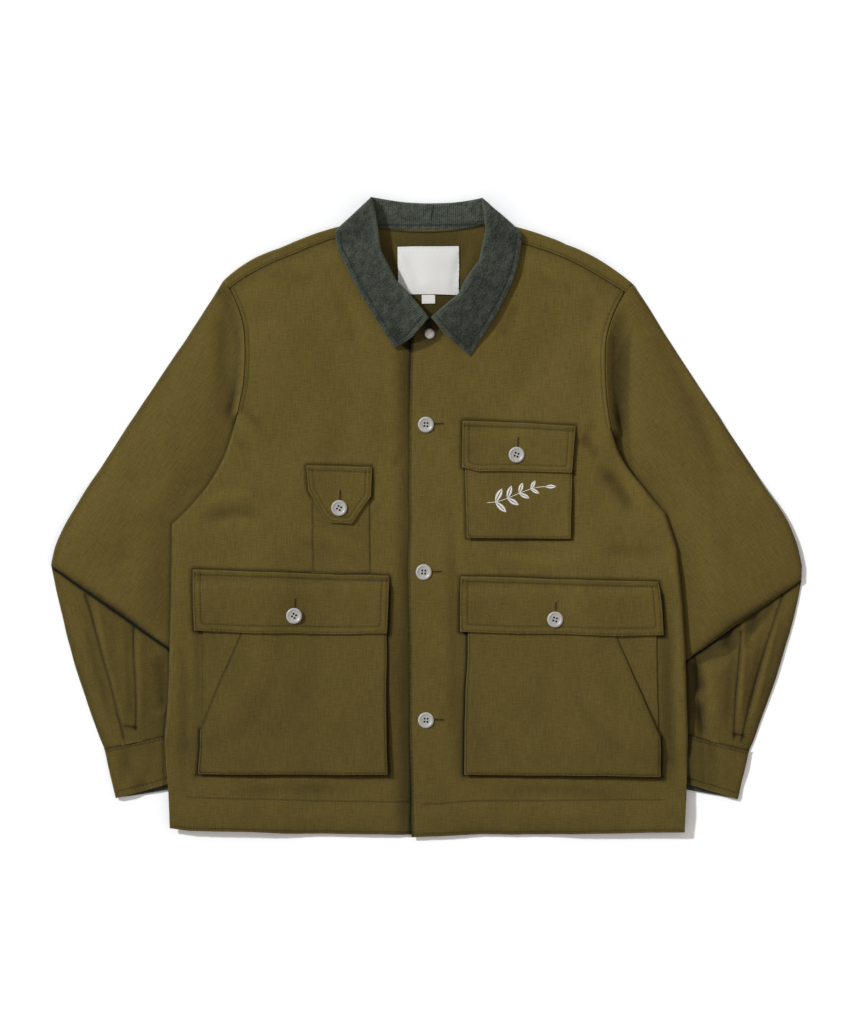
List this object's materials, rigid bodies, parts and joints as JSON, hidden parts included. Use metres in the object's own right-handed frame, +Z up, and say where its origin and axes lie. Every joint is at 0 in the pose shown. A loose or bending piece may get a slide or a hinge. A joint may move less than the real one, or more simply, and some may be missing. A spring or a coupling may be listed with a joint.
{
  "type": "work jacket",
  "caption": "Boxy cotton twill work jacket with a needlecord collar and buttoned flap pockets, buttoned up and laid flat with its front up.",
  "frame": {"origin": "middle of the jacket's underside, on the surface that it lies on", "axes": "+Z up out of the surface, +Y towards the collar, +X towards the wearer's left sleeve"},
  "size_m": [0.8696, 0.7431, 0.0194],
  "materials": {
    "twill": "olive cotton twill, matt",
    "needlecord": "grey-green needlecord with a soft nap",
    "label": "woven off-white, bare",
    "button": "light grey with a raised rim",
    "snap": "satin domed cap"
  },
  "bodies": {
    "root": {"back": "twill", "back_wrap_left": "twill", "back_wrap_right": "twill", "front_left": "twill", "front_right": "twill", "sleeve_upper_left": "twill", "sleeve_upper_right": "twill", "sleeve_lower_left": "twill", "sleeve_lower_right": "twill", "cuff_left": "twill", "cuff_right": "twill", "cargo_bag_left": "twill", "cargo_bag_right": "twill", "cargo_pocket_left": "twill", "cargo_pocket_right": "twill", "cargo_flap_left": "twill", "cargo_flap_right": "twill", "chest_pocket": "twill", "chest_flap": "twill", "pen_pocket": "twill", "pen_flap": "twill", "collar_back": "needlecord", "collar_leaf_left": "needlecord", "collar_leaf_right": "needlecord", "cuff_facing_left": "needlecord", "cuff_facing_right": "needlecord", "neck_label": "label", "size_tab": "label", "button_placket_1": "button", "button_placket_2": "button", "button_placket_3": "button", "button_cargo_left": "button", "button_cargo_right": "button", "button_chest": "button", "button_pen": "button", "snap_neck": "snap"}
  },
  "joints": []
}
